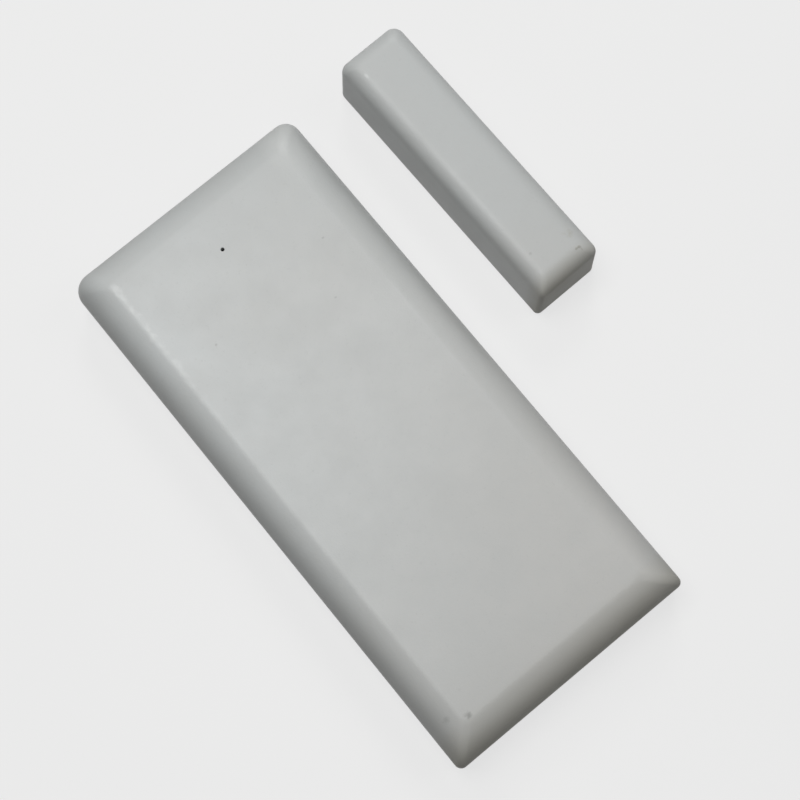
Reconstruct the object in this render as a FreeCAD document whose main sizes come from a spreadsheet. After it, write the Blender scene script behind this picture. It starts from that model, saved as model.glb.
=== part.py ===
import FreeCAD, Part
import Sketcher
import math
import os
from types import SimpleNamespace

# A wireless door and window sensor: the large housing holds the board, the reed switch and two cells,
# and the small bar-shaped housing beside it holds the magnet.
# The origin is the middle of the large housing's back face. +Z points out of the front,
# +Y to the lamp's end and +X to the magnet. All lengths are in millimetres.

# Driving dimensions

SIZES = {
    # large housing
    "case_width": 48.7,
    "case_lift": 0.4,
    "wall": 1.6,
    "shoulder_rise": 7.0,
    "side_inset": 5.6,
    "lower_inset": 6.0,
    "upper_inset": 7.2,
    "upper_corner_radius": 2.4,
    "lower_corner_radius": 1.4,
    "trim_margin": 2.0,
    "lamp_hole_radius": 0.35,
    "fit_gap": 0.15,
    "roof_gap": 0.35,
    # back plate
    "plate": 2.0,
    "screw_offset": 28.0,
    "screw_hole_radius": 1.8,
    "screw_access_radius": 4.0,
    "window_radius": 2.2,
    "rib": 1.2,
    "rib_end_gap": 0.6,
    "cradle_rib_rise": 4.0,
    "end_rib_rise": 7.0,
    "snap_offset": 30.0,
    "snap_length": 8.0,
    "snap_rise": 4.0,
    "snap_nose": 0.45,
    "snap_nose_rise": 1.8,
    "snap_room": 0.25,
    # board
    "post_rise": 3.2,
    "post_radius": 2.4,
    "pilot_radius": 0.8,
    "post_x": 17.5,
    "post_edge": 4.0,
    "board_width": 41.0,
    "board_length": 49.5,
    "board_end_gap": 1.95,
    "board": 1.2,
    "board_corner_radius": 1.5,
    "pin_radius": 0.9,
    "hole_gap": 0.1,
    "board_screw_radius": 0.75,
    "board_screw_head_radius": 1.9,
    "board_screw_head": 1.3,
    "board_screw_length": 4.0,
    "screw_slot": 0.5,
    # cells and their contacts
    "cell_radius": 5.25,
    "cell_length": 44.5,
    "cell_tip_radius": 1.9,
    "cell_tip": 1.0,
    "cell_x": 9.3,
    "cell_gap": 0.3,
    "contact_gap": 0.05,
    "strip": 0.4,
    "strip_half_width": 4.0,
    "strip_rise": 8.5,
    "dimple": 0.6,
    "dimple_radius": 1.6,
    "ear_length": 3.0,
    "ear_half_width": 1.5,
    "spring_length": 3.5,
    "spring_wide_radius": 3.0,
    "spring_taper_angle": 24.0,
    "spring_pitch": 1.4,
    "spring_wire_radius": 0.3,
    # reed switch
    "reed_x": 17.0,
    "reed_rise": 0.4,
    "glass_radius": 1.05,
    "glass_length": 14.0,
    "glass_wall": 0.3,
    "lead_radius": 0.25,
    "lead_reach": 10.5,
    "lead_inside": 4.0,
    "blade_overlap": 0.8,
    "blade_width": 1.2,
    "blade": 0.2,
    "blade_gap": 0.1,
    "lead_hole_gap": 0.1,
    # lamp
    "lamp_edge": 9.65,
    "lamp_gap": 1.2,
    "lamp_radius": 1.5,
    "lamp_crown": 0.9,
    "lamp_flange_radius": 1.9,
    "lamp_flange": 1.0,
    "lamp_lead": 0.5,
    "lamp_lead_offset": 1.27,
    "lead_tail": 0.6,
    # board parts, each with its distance from the board's nearer end
    "chip_x": -7.5,
    "chip_edge": 18.05,
    "chip_length": 9.9,
    "chip_width": 3.9,
    "chip_height": 1.5,
    "chip_stand": 0.15,
    "chip_pitch": 1.27,
    "pin_width": 0.42,
    "pin_reach": 1.05,
    "pin_thickness": 0.2,
    "shield_x": -9.5,
    "shield_edge": 12.45,
    "shield_length": 13.0,
    "shield_width": 11.0,
    "shield_height": 2.4,
    "shield_radius": 1.0,
    "crystal_x": 6.0,
    "crystal_edge": 16.05,
    "crystal_length": 11.0,
    "crystal_width": 4.6,
    "crystal_height": 3.5,
    "crystal_flange": 0.4,
    "capacitor_x": 10.5,
    "capacitor_edge": 8.95,
    "capacitor_radius": 3.15,
    "capacitor_height": 4.6,
    "capacitor_base": 0.6,
    "capacitor_base_width": 6.6,
    "resistor_x": 2.0,
    "resistor_edge": 7.05,
    "resistor_pitch": 2.6,
    "resistor_length": 2.0,
    "resistor_width": 1.25,
    "resistor_height": 0.55,
    "antenna_x": -17.0,
    "antenna_edge": 13.05,
    "antenna_radius": 2.2,
    "antenna_pitch": 3.4,
    "antenna_length": 12.0,
    "antenna_wire_radius": 0.35,
    # enrolment button
    "button_x": 9.5,
    "button_edge": 18.05,
    "button_width": 6.0,
    "button_height": 3.4,
    "button_bore_radius": 1.75,
    "button_bore": 1.5,
    "button_cap_radius": 1.65,
    "button_cap": 2.6,
    "button_cap_edge": 0.3,
    "button_room": 0.4,
    "button_leg": 0.7,
    # tamper switch
    "tamper_x": -8.0,
    "tamper_edge": 8.05,
    "tamper_width": 7.0,
    "tamper_floor_gap": 0.3,
    "tamper_floor": 0.5,
    "tamper_bore_radius": 2.1,
    "plunger_recess": 0.3,
    "plunger_radius": 1.35,
    "plunger_tip": 0.4,
    "plunger_flange_radius": 1.95,
    "plunger_flange": 0.4,
    "plunger_pin_radius": 0.6,
    "plunger_pin": 0.7,
    "tamper_spring_radius": 1.3,
    "tamper_spring_wire_radius": 0.15,
    "tamper_spring_pitch": 0.85,
    "touch_gap": 0.02,
    # magnet housing
    "magnet_case_x": 43.15,
    "magnet_case_y": 26.3,
    "magnet_case_turn": 0.81,
    "magnet_case_length": 55.1,
    "magnet_case_width": 13.8,
    "magnet_case_height": 13.5,
    "magnet_case_draft": 1.7,
    "magnet_case_edge_radius": 3.2,
    "magnet_case_corner_radius": 1.4,
    "magnet_wall": 1.5,
    "magnet_plate": 2.0,
    "magnet_screw_edge": 6.05,
    "magnet_length": 30.0,
    "magnet_width": 7.0,
    "magnet_height": 6.0,
    "magnet_bevel": 0.5,
    "magnet_gap": 0.1,
    "magnet_rib_rise": 3.0,
    "crush_rib": 1.0,
    "crush_rib_offset": 9.0,
}


class Size:
    """A length that knows its number and the formula that binds it to the sheet."""

    def __init__(self, number, formula):
        self.number = float(number)
        self.formula = formula

    @staticmethod
    def of(value):
        return value if isinstance(value, Size) else Size(value, str(float(value)))

    def join(self, sign, other, number):
        return Size(number, f"({self.formula} {sign} {Size.of(other).formula})")

    def __add__(self, other):
        return self.join("+", other, self.number + Size.of(other).number)

    def __sub__(self, other):
        return self.join("-", other, self.number - Size.of(other).number)

    def __mul__(self, other):
        return self.join("*", other, self.number * Size.of(other).number)

    def __truediv__(self, other):
        return self.join("/", other, self.number / Size.of(other).number)

    def __neg__(self):
        return self * -1


def root(size):
    return Size(math.sqrt(size.number), f"sqrt({size.formula})")


doc = FreeCAD.newDocument("door_window_sensor")
sheet = doc.addObject("Spreadsheet::Sheet", "sizes")
for row, (alias, number) in enumerate(SIZES.items(), start=1):
    sheet.set(f"A{row}", alias.replace("_", " "))
    sheet.set(f"B{row}", str(number))
    sheet.setAlias(f"B{row}", alias)
doc.recompute()
s = SimpleNamespace(**{alias: Size(number, f"sizes.{alias}") for alias, number in SIZES.items()})
ZERO = Size.of(0)
pieces = []

# Places that several pieces share

bay_length = s.strip * 2 + s.dimple + s.spring_length + s.cell_length + s.contact_gap * 2
inner_length = s.rib_end_gap + s.rib + bay_length + s.contact_gap + s.board_length + s.board_end_gap
half_width = s.case_width / 2
half_length = inner_length / 2 + s.wall
inner_half_width = half_width - s.wall
inner_half_length = inner_length / 2
plate_half_width = inner_half_width - s.fit_gap
plate_half_length = inner_half_length - s.fit_gap
board_under = s.plate + s.post_rise
board_top = board_under + s.board
cell_z = s.plate + s.contact_gap + s.cell_radius
roof_under = cell_z + s.cell_radius + s.roof_gap
case_height = roof_under + s.wall
wall_top = case_height - s.shoulder_rise
bay_low = -inner_half_length + s.rib_end_gap + s.rib
bay_high = bay_low + bay_length
board_low = bay_high + s.contact_gap
board_high = board_low + s.board_length
lamp_y = board_high - s.lamp_edge
tamper_y = board_low + s.tamper_edge
magnet_screw_offset = s.magnet_case_length / 2 - s.magnet_screw_edge
post_low = board_low + s.post_edge + s.post_radius
post_high = board_high - s.post_edge
reed_z = board_top + s.reed_rise + s.glass_radius
MIRRORED = (1, -1)
SCREWED_POSTS = ((-s.post_x, post_high), (s.post_x, post_low))
PINNED_POSTS = ((s.post_x, post_high), (-s.post_x, post_low))


# Helpers

def bind(thing, name, size):
    thing.setExpression(name, Size.of(size).formula)


def sorted_pair(a, b):
    return (a, b) if a.number < b.number else (b, a)


def place(thing, x=0, y=0, z=0):
    for axis, size in zip("xyz", (x, y, z)):
        bind(thing, f"Placement.Base.{axis}", size)


def keep(thing, label):
    """Marks an object as one finished piece."""
    thing.Label = label
    pieces.append(thing)
    return thing


def origin_plane(body, role):
    return next(f for f in body.Origin.OriginFeatures if f.Role == role)


def sketch_on(body, role, name, height=0):
    """An empty sketch on one of the body's own planes, moved along the plane's normal."""
    sketch = body.newObject("Sketcher::SketchObject", name)
    sketch.AttachmentSupport = [(origin_plane(body, role), "")]
    sketch.MapMode = "FlatFace"
    bind(sketch, "AttachmentOffset.Base.z", height)
    return sketch


def constrain(sketch, *what):
    """Adds a constraint whose last value is a Size, and binds it."""
    index = sketch.addConstraint(Sketcher.Constraint(*what[:-1], what[-1].number))
    sketch.setExpression(f"Constraints[{index}]", what[-1].formula)


def pin_point(sketch, geometry, end, point):
    """Fixes one end of a curve at a point given by two sizes."""
    constrain(sketch, "DistanceX", -1, 1, geometry, end, Size.of(point[0]))
    constrain(sketch, "DistanceY", -1, 1, geometry, end, Size.of(point[1]))


def vector(x, y):
    return FreeCAD.Vector(Size.of(x).number, Size.of(y).number, 0)


def polygon(sketch, corners):
    """A closed loop of straight lines."""
    start = sketch.GeometryCount
    count = len(corners)
    for i, corner in enumerate(corners):
        sketch.addGeometry(Part.LineSegment(vector(*corner), vector(*corners[(i + 1) % count])), False)
    for i, corner in enumerate(corners):
        sketch.addConstraint(Sketcher.Constraint("Coincident", start + i, 2, start + (i + 1) % count, 1))
        pin_point(sketch, start + i, 1, corner)


def rectangle(sketch, x_low, x_high, y_low, y_high):
    polygon(sketch, ((x_low, y_low), (x_high, y_low), (x_high, y_high), (x_low, y_high)))


def circle(sketch, x, y, radius):
    index = sketch.addGeometry(Part.Circle(vector(x, y), FreeCAD.Vector(0, 0, 1), radius.number), False)
    pin_point(sketch, index, 3, (x, y))
    constrain(sketch, "Radius", index, radius)


def rounded_rectangle(sketch, x_low, x_high, y_low, y_high, radius):
    """Four lines and four corner arcs, each corner fixed by its centre and its radius."""
    low = (x_low + radius, y_low + radius)
    high = (x_high - radius, y_high - radius)
    centres = ((high[0], low[1]), (high[0], high[1]), (low[0], high[1]), (low[0], low[1]))
    start = sketch.GeometryCount
    r = radius.number
    for corner, centre in enumerate(centres):
        first = math.radians(90 * corner - 90)
        middle = vector(*centre)
        full = Part.Circle(middle, FreeCAD.Vector(0, 0, 1), r)
        sketch.addGeometry(Part.ArcOfCircle(full, first, first + math.pi / 2), False)
    for corner, centre in enumerate(centres):
        turn = math.radians(90 * corner)
        outward = FreeCAD.Vector(r * math.cos(turn), r * math.sin(turn), 0)
        sketch.addGeometry(
            Part.LineSegment(vector(*centre) + outward, vector(*centres[(corner + 1) % 4]) + outward), False)
    for corner, centre in enumerate(centres):
        arc = start + corner
        side = start + len(centres) + corner
        sketch.addConstraint(Sketcher.Constraint("Tangent", arc, 2, side, 1))
        sketch.addConstraint(Sketcher.Constraint("Tangent", side, 2, start + (corner + 1) % 4, 1))
        pin_point(sketch, arc, 3, centre)
    constrain(sketch, "Radius", start, radius)


def pad(body, sketch, length, name, symmetric=False, taper=None):
    feature = body.newObject("PartDesign::Pad", name)
    feature.Profile = sketch
    bind(feature, "Length", length)
    feature.SideType = "Symmetric" if symmetric else "One side"
    if taper is not None:
        bind(feature, "TaperAngle", taper)
    return feature


def pocket(body, sketch, depth, name, upward=False, symmetric=False):
    """Cuts downwards from the sketch, or upwards, or to both sides of it."""
    feature = body.newObject("PartDesign::Pocket", name)
    feature.Profile = sketch
    feature.Reversed = upward
    bind(feature, "Length", depth)
    feature.SideType = "Symmetric" if symmetric else "One side"
    return feature


def edges_where(feature, test):
    """The names of the feature's edges whose middle and length pass the test."""
    names = []
    for number, edge in enumerate(feature.Shape.Edges, start=1):
        middle = edge.valueAt((edge.FirstParameter + edge.LastParameter) / 2)
        rise = edge.BoundBox.ZLength
        if test(middle, rise):
            names.append(f"Edge{number}")
    return names


def round_edges(body, base, test, radius, name, kind="PartDesign::Fillet", size_name="Radius"):
    """Rounds or bevels the edges that pass the test."""
    doc.recompute()
    feature = body.newObject(kind, name)
    feature.Base = (base, edges_where(base, test))
    bind(feature, size_name, radius)
    return feature


def box(name, low, high):
    block = doc.addObject("Part::Box", name)
    for side, a, b in zip(("Length", "Width", "Height"), low, high):
        bind(block, side, Size.of(b) - a)
    place(block, *low)
    return block


def round_bar(name, base, radius, length, along="Z", top_radius=None):
    """A cylinder, or a cone where a second radius is given, standing on its base point."""
    bar = doc.addObject("Part::Cylinder" if top_radius is None else "Part::Cone", name)
    if top_radius is None:
        bind(bar, "Radius", radius)
    else:
        bind(bar, "Radius1", radius)
        bind(bar, "Radius2", top_radius)
    bind(bar, "Height", length)
    if along == "Y":
        bar.Placement = FreeCAD.Placement(FreeCAD.Vector(), FreeCAD.Rotation(FreeCAD.Vector(1, 0, 0), -90))
    place(bar, *base)
    return bar


def fuse(name, *shapes):
    joined = doc.addObject("Part::MultiFuse", name)
    joined.Shapes = list(shapes)
    return joined


def cut(name, base, *tools):
    result = doc.addObject("Part::Cut", name)
    result.Base = base
    result.Tool = tools[0] if len(tools) == 1 else fuse(name + "_tools", *tools)
    return result


def group(name, shapes):
    """Separate solids kept as one piece name."""
    together = doc.addObject("Part::Compound", name)
    together.Links = list(shapes)
    return together


def coil(name, base, radius, pitch, length, wire_radius, along="Z", taper=None, left_handed=False):
    """A six-sided wire wound about an axis from the base point. Its first turn starts on the +X side."""
    spine = doc.addObject("Part::Helix", name + "_spine")
    bind(spine, "Radius", radius)
    bind(spine, "Pitch", pitch)
    bind(spine, "Height", length)
    if taper is not None:
        bind(spine, "Angle", taper)
    if left_handed:
        spine.LocalCoord = "Left-handed"
    section = doc.addObject("Part::RegularPolygon", name + "_section")
    section.Polygon = 6
    bind(section, "Circumradius", wire_radius)
    tilt = FreeCAD.Rotation(FreeCAD.Vector(1, 0, 0), -90)
    turned = spine if along == "Y" else section
    turned.Placement = FreeCAD.Placement(FreeCAD.Vector(), tilt)
    place(spine, *base)
    place(section, Size.of(base[0]) + radius, *base[1:])
    wire = doc.addObject("Part::Sweep", name)
    wire.Sections = [section]
    wire.Spine = (spine, [])
    wire.Solid = True
    wire.Frenet = True
    return wire


# Front cover: a shell whose flat front falls to the walls over four convex shoulders

def trim_outside(sketch, corners, foot_end, front_end):
    """Closes a loop from the arc's end at the front, round outside the form, to its end at the wall."""
    for first, second in zip(corners, corners[1:]):
        sketch.addGeometry(Part.LineSegment(vector(*first), vector(*second)), False)
    lines = len(corners) - 1
    sketch.addConstraint(Sketcher.Constraint("Coincident", 0, front_end, 1, 1))
    for line in range(1, lines):
        sketch.addConstraint(Sketcher.Constraint("Coincident", line, 2, line + 1, 1))
    sketch.addConstraint(Sketcher.Constraint("Coincident", lines, 2, 0, foot_end))
    for line, corner in enumerate(corners[:-1], start=1):
        pin_point(sketch, line, 1, corner)
    pin_point(sketch, 0, foot_end, corners[-1])


def shoulder_edge(body, name, role, edge, inset, shell, towards, top):
    """Trims one shoulder: an arc that leaves the wall upright and ends at the flat front.

    edge is how far out the wall stands, towards is +1 or -1, and shell is how far this
    surface lies inside the outer one, about the same centre.
    """
    outer_radius = (inset * inset + s.shoulder_rise * s.shoulder_rise) / (inset * 2)
    radius = outer_radius - shell
    climb = top - wall_top
    centre = (edge - radius) * towards
    front = centre + root(radius * radius - climb * climb) * towards
    wall = edge * towards
    beyond = (edge + s.trim_margin) * towards
    above = top + s.trim_margin
    sketch = sketch_on(body, role, name + "_outline")
    rise_angle = math.asin((climb / radius).number)
    full = Part.Circle(vector(centre, wall_top), FreeCAD.Vector(0, 0, 1), radius.number)
    wall_end, front_end = (1, 2) if towards > 0 else (2, 1)
    angles = (0, rise_angle) if towards > 0 else (math.pi - rise_angle, math.pi)
    sketch.addGeometry(Part.ArcOfCircle(full, *angles), False)
    corners = ((front, top), (front, above), (beyond, above), (beyond, wall_top), (wall, wall_top))
    trim_outside(sketch, corners, wall_end, front_end)
    constrain(sketch, "DistanceY", -1, 1, 0, 3, wall_top)
    return pocket(body, sketch, half_length * 4, name, symmetric=True)


def shouldered_form(name, half_x, half_y, shell, top):
    """A block with the four shoulders, standing on the cover's lower edge."""
    body = doc.addObject("PartDesign::Body", name)
    outline = sketch_on(body, "XY_Plane", name + "_outline", s.case_lift)
    rectangle(outline, -half_x, half_x, -half_y, half_y)
    pad(body, outline, top - s.case_lift, name + "_block")
    shoulder_edge(body, name + "_right", "XZ_Plane", half_x, s.side_inset, shell, 1, top)
    shoulder_edge(body, name + "_left", "XZ_Plane", half_x, s.side_inset, shell, -1, top)
    shoulder_edge(body, name + "_upper", "YZ_Plane", half_y, s.upper_inset, shell, 1, top)
    last = shoulder_edge(body, name + "_lower", "YZ_Plane", half_y, s.lower_inset, shell, -1, top)
    body.Tip = last
    return body


def front_cover():
    form = shouldered_form("cover_form", half_width, half_length, ZERO, case_height)
    near_x = (half_width - s.side_inset).number
    near_y = (half_length - s.upper_inset).number
    for end, radius, label in ((1, s.upper_corner_radius, "upper"), (-1, s.lower_corner_radius, "lower")):
        form.Tip = round_edges(
            form, form.Tip, lambda middle, rise: rise > radius.number and abs(middle.x) > near_x
            and middle.y * end > near_y, radius, f"cover_{label}_corners")
    core = shouldered_form("cover_core", inner_half_width, inner_half_length, s.wall, roof_under)
    lamp = round_bar("lamp_hole", (ZERO, lamp_y, roof_under - s.wall), s.lamp_hole_radius, s.wall * 3)
    recesses = []
    deep = s.snap_nose - s.fit_gap + s.snap_room
    half_recess = s.snap_length / 2 + s.snap_room
    for side in MIRRORED:
        for end in MIRRORED:
            across = sorted_pair(inner_half_width * side, (inner_half_width + deep) * side)
            low = (across[0], s.snap_offset * end - half_recess,
                   s.plate + s.snap_rise - s.snap_nose_rise - s.snap_room)
            high = (across[1], s.snap_offset * end + half_recess, s.plate + s.snap_rise + s.snap_room)
            recesses.append(box(f"snap_recess_{side}_{end}".replace("-", "m"), low, high))
    keep(cut("cover_shell", form, core, lamp, *recesses), "front_cover")


# Back plate: nests inside the cover, with cradles for the cells and posts for the board

def back_plate():
    body = doc.addObject("PartDesign::Body", "plate_body")
    outline = sketch_on(body, "XY_Plane", "plate_outline")
    rounded_rectangle(outline, -plate_half_width, plate_half_width, -plate_half_length, plate_half_length,
                      s.upper_corner_radius - s.wall - s.fit_gap)
    pad(body, outline, s.plate, "plate_slab")
    for side in MIRRORED:
        for end in MIRRORED:
            name = f"snap_{side}_{end}".replace("-", "m")
            sketch = sketch_on(body, "XZ_Plane", name + "_outline", s.snap_offset * -end)
            outer = plate_half_width * side
            top = s.plate + s.snap_rise
            inner = outer - s.rib * side
            nose = (outer + s.snap_nose * side, top - s.snap_nose_rise / 2)
            polygon(sketch, ((inner, s.plate), (outer, s.plate), (outer, top - s.snap_nose_rise), nose,
                             (outer, top), (inner, top)))
            pad(body, sketch, s.snap_length, name, symmetric=True)
    rib_face = s.cell_radius + s.cell_gap
    ribs = sketch_on(body, "XY_Plane", "cradle_ribs_outline", s.plate)
    cell_low = bay_low + s.strip + s.spring_length
    cell_high = bay_high - s.strip - s.spring_length
    for side in MIRRORED:
        outer = sorted_pair((s.cell_x + rib_face) * side, (s.cell_x + rib_face + s.rib) * side)
        rectangle(ribs, *outer, cell_low, cell_high)
        inner = sorted_pair((s.cell_x - rib_face) * side, (s.cell_x - rib_face - s.rib) * side)
        rectangle(ribs, *inner, cell_low, -s.screw_offset - s.screw_access_radius)
        rectangle(ribs, *inner, -s.screw_offset + s.screw_access_radius, cell_high)
    pad(body, ribs, s.cradle_rib_rise, "cradle_ribs")
    low_rib = sketch_on(body, "XY_Plane", "lower_rib_outline", s.plate)
    bay_half_width = s.cell_x + rib_face
    rectangle(low_rib, -bay_half_width, bay_half_width, bay_low - s.rib, bay_low)
    pad(body, low_rib, s.end_rib_rise, "lower_rib")
    high_rib = sketch_on(body, "XY_Plane", "upper_rib_outline", s.plate)
    rectangle(high_rib, -bay_half_width, bay_half_width, bay_high, bay_high + s.rib)
    pad(body, high_rib, s.post_rise, "upper_rib")
    posts = sketch_on(body, "XY_Plane", "posts_outline", s.plate)
    for x, y in SCREWED_POSTS + PINNED_POSTS:
        circle(posts, x, y, s.post_radius)
    pad(body, posts, s.post_rise, "posts")
    pins = sketch_on(body, "XY_Plane", "pins_outline", board_under)
    for x, y in PINNED_POSTS:
        circle(pins, x, y, s.pin_radius)
    pad(body, pins, s.board + s.lead_tail, "pins")
    pilots = sketch_on(body, "XY_Plane", "pilots_outline", board_under)
    for x, y in SCREWED_POSTS:
        circle(pilots, x, y, s.pilot_radius)
    pocket(body, pilots, s.post_rise, "pilots")
    holes = sketch_on(body, "XY_Plane", "plate_holes_outline", s.plate)
    for end in MIRRORED:
        circle(holes, ZERO, s.screw_offset * end, s.screw_hole_radius)
    circle(holes, s.tamper_x, tamper_y, s.window_radius)
    body.Tip = pocket(body, holes, s.plate, "plate_holes")
    keep(body, "back_plate")


# Board and what is soldered on it

def circuit_board():
    body = doc.addObject("PartDesign::Body", "board_body")
    half = s.board_width / 2
    outline = sketch_on(body, "XY_Plane", "board_outline", board_under)
    rounded_rectangle(outline, -half, half, board_low, board_high, s.board_corner_radius)
    pad(body, outline, s.board, "board_slab")
    holes = sketch_on(body, "XY_Plane", "board_holes_outline", board_top)
    circle(holes, ZERO, s.screw_offset, s.screw_access_radius)
    for x, y in SCREWED_POSTS:
        circle(holes, x, y, s.board_screw_radius + s.hole_gap)
    for x, y in PINNED_POSTS:
        circle(holes, x, y, s.pin_radius + s.hole_gap)
    for end in MIRRORED:
        circle(holes, s.reed_x, s.magnet_case_y + s.lead_reach * end, s.lead_radius + s.lead_hole_gap)
        circle(holes, s.lamp_lead_offset * end, lamp_y, s.lamp_lead)
    body.Tip = pocket(body, holes, s.board, "board_holes")
    keep(body, "circuit_board")


def board_screws():
    screws = []
    for number, (x, y) in enumerate(SCREWED_POSTS):
        name = f"board_screw_{number}"
        head = round_bar(name + "_head", (x, y, board_top), s.board_screw_head_radius, s.board_screw_head)
        shank = round_bar(name + "_shank", (x, y, board_top - s.board_screw_length), s.board_screw_radius,
                          s.board_screw_length)
        slot_low = (x - s.board_screw_head_radius, y - s.screw_slot / 2, board_top + s.board_screw_head / 2)
        slot_high = (x + s.board_screw_head_radius, y + s.screw_slot / 2, board_top + s.board_screw_head)
        slot = box(name + "_slot", slot_low, slot_high)
        screws.append(cut(name, fuse(name + "_blank", head, shank), slot))
    keep(group("board_screw_pair", screws), "board_screws")


def status_led():
    base = (ZERO, lamp_y, board_top)
    flange = round_bar("lamp_flange_disc", base, s.lamp_flange_radius, s.lamp_flange)
    crown_z = roof_under - s.lamp_gap - s.lamp_crown
    stem = round_bar("lamp_stem", base, s.lamp_radius, crown_z - board_top)
    crown = round_bar("lamp_crown", (ZERO, lamp_y, crown_z), s.lamp_radius, s.lamp_crown,
                      top_radius=s.lamp_radius / 2)
    leads = []
    for end in MIRRORED:
        x = s.lamp_lead_offset * end
        low = (x - s.lamp_lead / 2, lamp_y - s.lamp_lead / 2, board_under - s.lead_tail)
        high = (x + s.lamp_lead / 2, lamp_y + s.lamp_lead / 2, board_top)
        leads.append(box(f"lamp_lead_{end}".replace("-", "m"), low, high))
    keep(fuse("lamp", flange, stem, crown, *leads), "status_led")


def reed_switch():
    """A sealed glass tube abreast of the magnet, with two overlapping blades on bent leads."""
    reed_y = s.magnet_case_y
    centre = s.glass_length / 2 - s.glass_radius
    inner = s.glass_radius - s.glass_wall

    def capsule(name, radius):
        bar = round_bar(name + "_bar", (s.reed_x, reed_y - centre, reed_z), radius, centre * 2,
                        along="Y")
        upper = round_bar(name + "_upper_end", (s.reed_x, reed_y + centre, reed_z), radius, radius,
                          along="Y", top_radius=radius / 2)
        lower = round_bar(name + "_lower_end", (s.reed_x, reed_y - centre - radius, reed_z), radius / 2,
                          radius, along="Y", top_radius=radius)
        return fuse(name, bar, upper, lower)

    blades = []
    for end, label in ((1, "upper"), (-1, "lower")):
        name = f"reed_{label}"
        y_out = reed_y + s.lead_reach * end
        y_in = reed_y + s.lead_inside * end
        y_start = y_in if end > 0 else y_out
        lead = round_bar(name + "_lead", (s.reed_x, y_start, reed_z), s.lead_radius,
                         s.lead_reach - s.lead_inside, along="Y")
        foot_z = board_under - s.lead_tail
        foot_radius = s.lead_radius + s.touch_gap
        foot = round_bar(name + "_foot", (s.reed_x, y_out, foot_z), foot_radius,
                         reed_z + foot_radius - foot_z)
        y_pair = sorted_pair(reed_y - s.blade_overlap * end, y_in + s.lead_radius * end)
        z_pair = sorted_pair(reed_z + s.blade_gap / 2 * end, reed_z + (s.blade_gap / 2 + s.blade) * end)
        paddle = box(name + "_paddle", (s.reed_x - s.blade_width / 2, y_pair[0], z_pair[0]),
                     (s.reed_x + s.blade_width / 2, y_pair[1], z_pair[1]))
        blades.append(keep(fuse(name, lead, foot, paddle), f"reed_blade_{label}"))
    glass = cut("reed_tube", capsule("glass_outer", s.glass_radius), capsule("glass_inner", inner), *blades)
    keep(glass, "reed_glass")


def microcontroller_chip():
    x = s.chip_x
    y = board_low + s.chip_edge
    half_x = s.chip_length / 2
    half_y = s.chip_width / 2
    bottom = board_top + s.chip_stand
    top = bottom + s.chip_height
    parts = [box("chip_case", (x - half_x, y - half_y, bottom), (x + half_x, y + half_y, top))]
    pins_per_side = 8
    for side in MIRRORED:
        for number in range(pins_per_side):
            at = x + s.chip_pitch * (number - (pins_per_side - 1) / 2)
            name = f"chip_pin_{side}_{number}".replace("-", "m")
            edge = y + half_y * side
            toe = edge + s.pin_reach * side
            knee = edge + s.pin_reach * 0.5 * side
            middle = bottom + s.chip_height / 2
            arm = sorted_pair(edge, knee)
            foot = sorted_pair(knee - s.pin_thickness * side, toe)
            riser = sorted_pair(knee - s.pin_thickness * side, knee)
            west = at - s.pin_width / 2
            east = at + s.pin_width / 2
            arm_top = middle + s.pin_thickness
            foot_top = board_top + s.pin_thickness
            parts.append(box(name + "_arm", (west, arm[0], middle), (east, arm[1], arm_top)))
            parts.append(box(name + "_riser", (west, riser[0], board_top), (east, riser[1], middle)))
            parts.append(box(name + "_foot", (west, foot[0], board_top), (east, foot[1], foot_top)))
    keep(fuse("chip", *parts), "microcontroller_chip")


def can(label, x, y, length, width, height, radius, flange):
    """A drawn metal can with rounded corners on a thin flange."""
    body = doc.addObject("PartDesign::Body", label + "_body")
    half_x = width / 2
    half_y = length / 2
    foot = sketch_on(body, "XY_Plane", label + "_foot_outline", board_top)
    rounded_rectangle(foot, x - half_x, x + half_x, y - half_y, y + half_y, radius)
    pad(body, foot, flange, label + "_foot")
    shell = sketch_on(body, "XY_Plane", label + "_shell_outline", board_top + flange)
    rounded_rectangle(shell, x - half_x + flange, x + half_x - flange, y - half_y + flange,
                      y + half_y - flange, radius - flange)
    body.Tip = pad(body, shell, height - flange, label + "_shell")
    keep(body, label)


def storage_capacitor():
    half = s.capacitor_base_width / 2
    x = s.capacitor_x
    y = board_high - s.capacitor_edge
    base_top = board_top + s.capacitor_base
    base = box("capacitor_foot", (x - half, y - half, board_top), (x + half, y + half, base_top))
    barrel = round_bar("capacitor_barrel", (x, y, base_top), s.capacitor_radius, s.capacitor_height)
    keep(fuse("capacitor", base, barrel), "storage_capacitor")


def chip_resistors():
    resistors = []
    half_x = s.resistor_width / 2
    half_y = s.resistor_length / 2
    y = board_low + s.resistor_edge
    for number in range(5):
        x = s.resistor_x + s.resistor_pitch * number
        low = (x - half_x, y - half_y, board_top)
        high = (x + half_x, y + half_y, board_top + s.resistor_height)
        resistors.append(box(f"resistor_{number}", low, high))
    keep(group("resistors", resistors), "chip_resistors")


def antenna_coil():
    y = board_low + s.antenna_edge
    axis_z = board_top + s.antenna_radius + s.antenna_wire_radius + s.hole_gap
    winding = coil("antenna_winding", (s.antenna_x, y, axis_z), s.antenna_radius, s.antenna_pitch,
                   s.antenna_length, s.antenna_wire_radius, along="Y", left_handed=True)
    leg = round_bar("antenna_leg", (s.antenna_x + s.antenna_radius, y, board_top), s.antenna_wire_radius,
                    axis_z - board_top)
    keep(fuse("antenna", winding, leg), "antenna_coil")


# Buttons

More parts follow.
